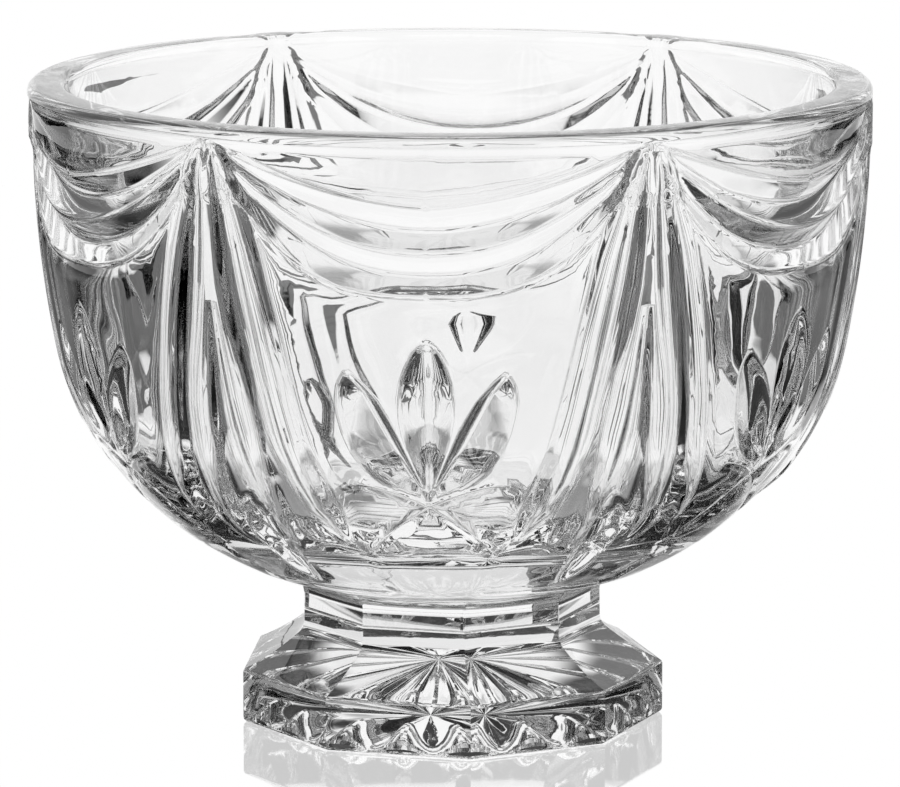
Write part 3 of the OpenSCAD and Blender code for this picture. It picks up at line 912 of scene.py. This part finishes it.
column_turn = 2 * math.pi / ring_columns
even = (np.arange(ring_columns) + round(foot_turn / column_turn)) * column_turn
cornered = side_angles(ring_columns // sides, neck_corner / waist_r, sides)
end_r = float(wall(pattern_end_s)[0])
end_z = float(wall(pattern_end_s)[1])
neck_top_rs = nine_sided(neck_top_r, cornered)
neck_rings = [(even, np.full(ring_columns, end_r), np.full(ring_columns, end_z))]
for t in (0.35, 0.7, 1.0):
    r = end_r + (neck_top_rs - end_r) * t
    neck_rings.append((even + (cornered - even) * t, r, underside_z(r)))
cove_low_z = bowl_foot_z + neck_side_h
for t in np.linspace(math.pi / 2, 0, 9)[1:]:
    r = nine_sided(waist_r + (neck_top_r - waist_r) * (1 - math.cos(t)), cornered)
    z = cove_low_z + (underside_z(neck_top_rs) - cove_low_z) * math.sin(t)
    neck_rings.append((cornered, r, z))
for t in (0, math.pi / 4, math.pi / 2):
    r = nine_sided(waist_r - waist_edge * (1 - math.cos(t)), cornered)
    z = bowl_foot_z + waist_edge * (1 - math.sin(t))
    neck_rings.append((cornered, r, np.full(ring_columns, z)))


def ring_points(rings):
    """Points in mm of rings given as angles, radii and heights."""
    return [(r * math.sin(a), -r * math.cos(a), z) for ring in rings for a, r, z in zip(*ring)]


neck_points = ring_points(neck_rings) + [(0, 0, bowl_foot_z)]
neck_faces = []
for row in range(0, (len(neck_rings) - 1) * ring_columns, ring_columns):
    for i in range(ring_columns):
        j = (i + 1) % ring_columns
        neck_faces.append((row + i, row + ring_columns + i, row + ring_columns + j, row + j))
lowest = (len(neck_rings) - 1) * ring_columns
neck_faces += [(lowest + i, len(neck_points) - 1, lowest + (i + 1) % ring_columns)
               for i in range(ring_columns)]
neck = mesh_object("neck", neck_points, neck_faces)
neck.data.materials.append(crystal)


def join(whole, part):
    """Adds part's mesh to whole, welds the shared ring and returns whole."""
    both = bmesh.new()
    both.from_mesh(whole.data)
    both.from_mesh(part.data)
    bmesh.ops.remove_doubles(both, verts=both.verts, dist=weld * mm)
    for face in both.faces:
        face.smooth = True
    both.to_mesh(whole.data)
    both.free()
    bpy.data.objects.remove(part)
    return whole


bowl = join(bowl, neck)

flat_normal = 0.999
flat_gap = 0.01


def use_on_flat(piece, height, material):
    """Gives the faces that lie flat at a height in mm another material."""
    piece.data.materials.append(material)
    slot = len(piece.data.materials) - 1
    for face in piece.data.polygons:
        if abs(face.normal.z) > flat_normal and abs(face.center.z / mm - height) < flat_gap:
            face.material_index = slot


use_on_flat(bowl, bowl_foot_z, wetted)

# Shading follows the true surface of the pattern, not the net's triangles
probe = 0.3
pattern_inset = 0.05
count = len(bowl.data.vertices)
where = np.empty(count * 3)
bowl.data.vertices.foreach_get("co", where)
where = where.reshape(-1, 3) / mm
normal = np.empty(count * 3)
bowl.data.vertex_normals.foreach_get("vector", normal)
normal = normal.reshape(-1, 3)
from_rim = np.empty(count, np.float32)
bowl.data.attributes["from_rim"].data.foreach_get("value", from_rim)
patterned = ((from_rim > pattern_top_s + pattern_inset)
             & (from_rim < pattern_end_s - pattern_inset))
u = np.degrees(np.arctan2(where[patterned, 0], -where[patterned, 1]))
s = from_rim[patterned].astype(float)
probe_u = probe / across_mm(s)
along_u = outside(u + probe_u, s) - outside(u - probe_u, s)
along_s = outside(u, s + probe) - outside(u, s - probe)
true_normal = np.cross(along_s, along_u)
normal[patterned] = true_normal / np.linalg.norm(true_normal, axis=1)[:, None]
bowl.data.normals_split_custom_set_from_vertices(normal)
bowl.data.attributes.remove(bowl.data.attributes["from_rim"])

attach(bowl, "root")
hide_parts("bowl")

# Foot
# The second pressing in lead crystal: a thick base with nine sides that
# sweeps up to the waist, with a star cut into its underside. It is glued to
# the neck with its flat top.
foot_top_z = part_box("foot")[1].z / mm
foot_corner_r = 55.4
foot_corner = 0.4
foot_edge = 1.3
side_h = 14.3
top_edge_turn = math.radians(60)
collar_h = 3.0
cove_r = 4.5
cove_turn = math.radians(45)
slope_turn = math.radians(16)
star_rays = 18
star_r = 48.0
star_deep_r = 36.0
star_depth = 6.0
star_ridge_z = 1.0
star_centre_depth = 2.0
apothem_share = math.cos(side_turn / 2)
foot_side_r = foot_corner_r * apothem_share
waist_side_r = waist_r * apothem_share
foot_third = 96

# Outline through the middle of a side, from the underside's edge to the waist
outline = [(foot_side_r - foot_edge * (1 - math.sin(t)), foot_edge * (1 - math.cos(t)))
           for t in np.linspace(0, math.pi / 2, 7)]
outline += [(foot_side_r - foot_edge * (1 - math.cos(t)), side_h - foot_edge * (1 - math.sin(t)))
            for t in np.linspace(0, top_edge_turn, 6)]
cove_top_z = foot_top_z - collar_h
start = np.array(outline[-1])
end = np.array((waist_side_r + cove_r * (1 - math.cos(cove_turn)),
                cove_top_z - cove_r * math.sin(cove_turn)))
chord = np.linalg.norm(end - start)
uphill = (end - start) / chord
inward = np.array((-uphill[1], uphill[0]))
slope_r = chord / 2 / math.sin(slope_turn / 2)
for t in np.linspace(-slope_turn / 2, slope_turn / 2, 12)[1:-1]:
    sag = slope_r * (math.cos(t) - math.cos(slope_turn / 2))
    outline.append(tuple((start + end) / 2 + uphill * slope_r * math.sin(t) + inward * sag))
outline += [(waist_side_r + cove_r * (1 - math.cos(t)), cove_top_z - cove_r * math.sin(t))
            for t in np.linspace(cove_turn, 0, 12)]
outline += [(waist_side_r - waist_edge * (1 - math.cos(t)),
             foot_top_z - waist_edge * (1 - math.sin(t))) for t in (0, math.pi / 4, math.pi / 2)]

# A third of the foot is a wedge of three sides and six rays. The rays deepen
# from the star's middle, then bend out to the flat ring under the foot.
third_sides = sides // 3
even = foot_turn + np.linspace(0, 2 * math.pi / 3, foot_third + 1)
cornered = np.r_[
    side_angles(foot_third // third_sides, foot_corner / foot_corner_r, third_sides),
    foot_turn + third_sides * side_turn]
half_ray = math.pi / star_rays
ray_place = ((even - foot_turn) / half_ray) % 2
from_ray = np.where(ray_place > 1, 2 - ray_place, ray_place) * half_ray
valley = 0.5 + 0.5 * np.cos(math.pi * from_ray / half_ray)
foot_rings = []
for t in (0.1, 0.25, 0.4, 0.55, 0.7, 0.85, 1.0):
    ridge_z = star_centre_depth + (star_ridge_z - star_centre_depth) * t
    keel_z = star_centre_depth + (star_depth - star_centre_depth) * t
    foot_rings.append((even, np.full(even.shape, star_deep_r * t),
                       ridge_z + (keel_z - ridge_z) * valley))
for t in np.radians((12, 24, 36, 48, 60, 70, 80, 90)):
    r = star_deep_r + (star_r - star_deep_r) * math.sin(t)
    z = (star_ridge_z + (star_depth - star_ridge_z) * valley) * math.cos(t)
    foot_rings.append((even, np.full(even.shape, r), z))
for x, z in outline:
    foot_rings.append((cornered, nine_sided(x / apothem_share, cornered), np.full(even.shape, z)))
foot_points = ring_points(foot_rings) + [(0, 0, star_centre_depth), (0, 0, foot_top_z)]
width = foot_third + 1
foot_faces = []
for row in range(0, (len(foot_rings) - 1) * width, width):
    foot_faces += [(row + i, row + i + 1, row + width + i + 1, row + width + i)
                   for i in range(foot_third)]
top = (len(foot_rings) - 1) * width
foot_faces += [(i + 1, i, len(foot_points) - 2) for i in range(foot_third)]
foot_faces += [(top + i, top + i + 1, len(foot_points) - 1) for i in range(foot_third)]
wedge = mesh_object("foot_wedge", foot_points, foot_faces)
foot = set_round(wedge, "crystal_foot", 3, False, crystal)
sharp_from = math.radians(12)
foot.data.set_sharp_from_angle(angle=sharp_from)
use_on_flat(foot, foot_top_z, wetted)
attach(foot, "root")
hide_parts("foot")

# Adhesive
# A film of clear adhesive, cured between the neck and the foot. Only its
# edge shows, as a fine line round the waist.
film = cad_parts["adhesive_bond"]

# Acrylic adhesive, cured clear between the two flats: it lets light straight
# through, and its edge is a little clouded and uneven, where it set in air
ripple_length = 3.0
ripple_height = 0.1
cured = bare_material("clear_cured_adhesive")
nodes = cured.node_tree
place = add(nodes, "ShaderNodeTexCoord").outputs["Object"]
ripple = add(nodes, "ShaderNodeTexNoise", Vector=place, Scale=1 / (ripple_length * mm),
             Detail=2.0).outputs[0]
uneven = add(nodes, "ShaderNodeBump", Height=ripple, Distance=ripple_height * mm).outputs[0]
cloud = add(nodes, "ShaderNodeMapRange", Value=ripple, From_Min=0.3, From_Max=0.7,
            To_Min=0.10, To_Max=0.22).outputs[0]
film_glass = add(nodes, "ShaderNodeBsdfPrincipled", Base_Color=linear("#F6F6F4"),
                 Roughness=cloud, IOR=1.5, Transmission_Weight=1.0, Normal=uneven)
add(nodes, "ShaderNodeOutputMaterial", Surface=film_glass.outputs[0])
film.data.materials.clear()
film.data.materials.append(cured)
film.data.materials.append(wetted)
for face in film.data.polygons:
    face.material_index = 1 if abs(face.normal.z) > flat_normal else 0
